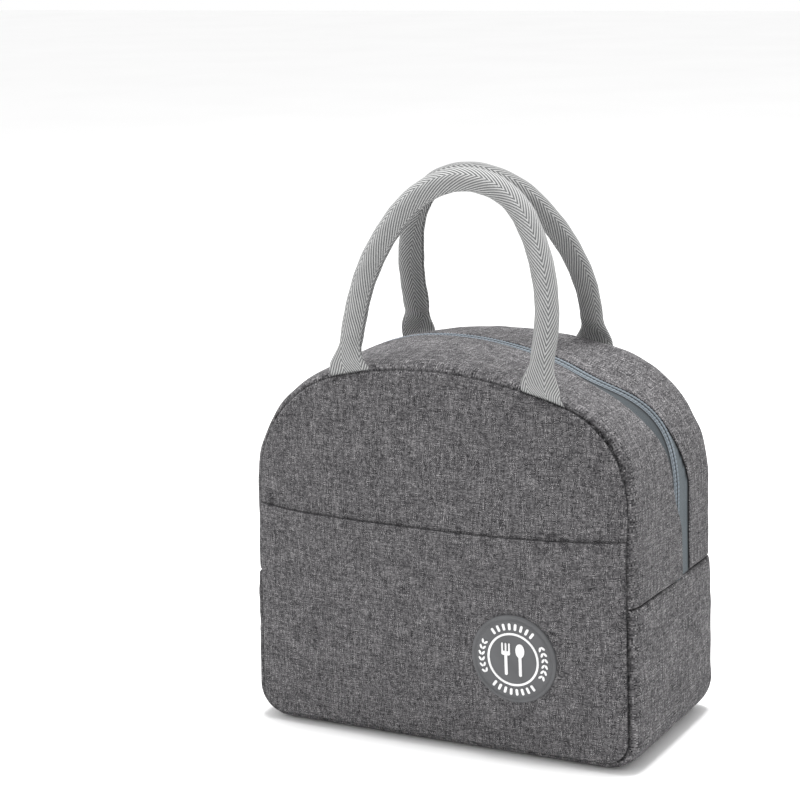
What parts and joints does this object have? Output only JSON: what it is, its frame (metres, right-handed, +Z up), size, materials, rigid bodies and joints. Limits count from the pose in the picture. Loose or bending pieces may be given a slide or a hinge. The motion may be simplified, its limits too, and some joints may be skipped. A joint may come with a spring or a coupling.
{
  "type": "lunch box",
  "caption": "Soft insulated lunch bag with an arched top, zip across the top, two webbing carry handles, a front pocket and a round badge.",
  "frame": {"origin": "centre of the flat base, on the surface that the bag stands on", "axes": "+Z up, the front with its pocket and badge faces -Y, +X is to the right seen from the front"},
  "size_m": [0.2393, 0.1401, 0.322],
  "materials": {
    "bag_cloth": "heathered woven polyester",
    "webbing": "herringbone webbing",
    "core": "cotton core cord",
    "foam": "closed cell foam",
    "foil_lining": "laminated foil",
    "binding": "woven seam binding",
    "zip_tape": "woven zip tape",
    "zip_coil": "nylon coil",
    "zip_metal": "satin",
    "badge": "soft PVC",
    "emblem": "soft PVC"
  },
  "bodies": {
    "bag_body": {"base_gusset": "bag_cloth", "front_panel": "bag_cloth", "back_panel": "bag_cloth", "front_pocket": "bag_cloth", "front_foam_lower": "foam", "back_foam_lower": "foam", "base_gusset_foam": "foam", "base_gusset_lining": "foil_lining", "front_lining": "foil_lining", "back_lining": "foil_lining", "front_seam_binding": "binding", "back_seam_binding": "binding", "badge_disc": "badge", "badge_emblem": "emblem"},
    "front_half": {"front_foam_upper": "foam", "zip_gusset_front": "bag_cloth", "zip_gusset_foam_front": "foam", "zip_gusset_lining_front": "foil_lining", "zipper_tape_front": "zip_tape", "zipper_coil_front": "zip_coil"},
    "back_half": {"back_foam_upper": "foam", "zip_gusset_back": "bag_cloth", "zip_gusset_foam_back": "foam", "zip_gusset_lining_back": "foil_lining", "zipper_tape_back": "zip_tape", "zipper_coil_back": "zip_coil"},
    "front_handle": {"front_handle_webbing": "webbing", "front_handle_core": "core"},
    "back_handle": {"back_handle_webbing": "webbing", "back_handle_core": "core"},
    "zip_slider": {"zipper_slider": "zip_metal"},
    "zip_pull": {"zipper_pull": "zip_metal"}
  },
  "joints": [
    {"name": "front_open", "type": "hinge", "parent": "bag_body", "child": "front_half", "pos_m": [0, -0.0613, 0.0883], "axis": [1, 0, 0], "range_deg": [0, 20], "deforming": ["front_panel", "front_lining", "front_seam_binding", "front_pocket", "zip_gusset_front", "zip_gusset_lining_front", "zipper_tape_front", "zipper_coil_front"]},
    {"name": "back_open", "type": "hinge", "parent": "bag_body", "child": "back_half", "pos_m": [0, 0.0613, 0.0883], "axis": [-1, 0, 0], "range_deg": [0, 20], "deforming": ["back_panel", "back_lining", "back_seam_binding", "zip_gusset_back", "zip_gusset_lining_back", "zipper_tape_back", "zipper_coil_back"]},
    {"name": "front_handle_fold", "type": "hinge", "parent": "front_half", "child": "front_handle", "pos_m": [0, -0.0631, 0.21], "axis": [1, 0, 0], "range_deg": [0, 150]},
    {"name": "back_handle_fold", "type": "hinge", "parent": "back_half", "child": "back_handle", "pos_m": [0, 0.0631, 0.21], "axis": [-1, 0, 0], "range_deg": [0, 150]},
    {"name": "zip_slide", "type": "slide", "parent": "bag_body", "child": "zip_slider", "axis": [0, 0, -1], "range_m": [-0.04, 0]},
    {"name": "zip_pull_swing", "type": "hinge", "parent": "zip_slider", "child": "zip_pull", "pos_m": [-0.12005, 0, 0.0948], "axis": [0, 1, 0], "range_deg": [0, 170]}
  ]
}
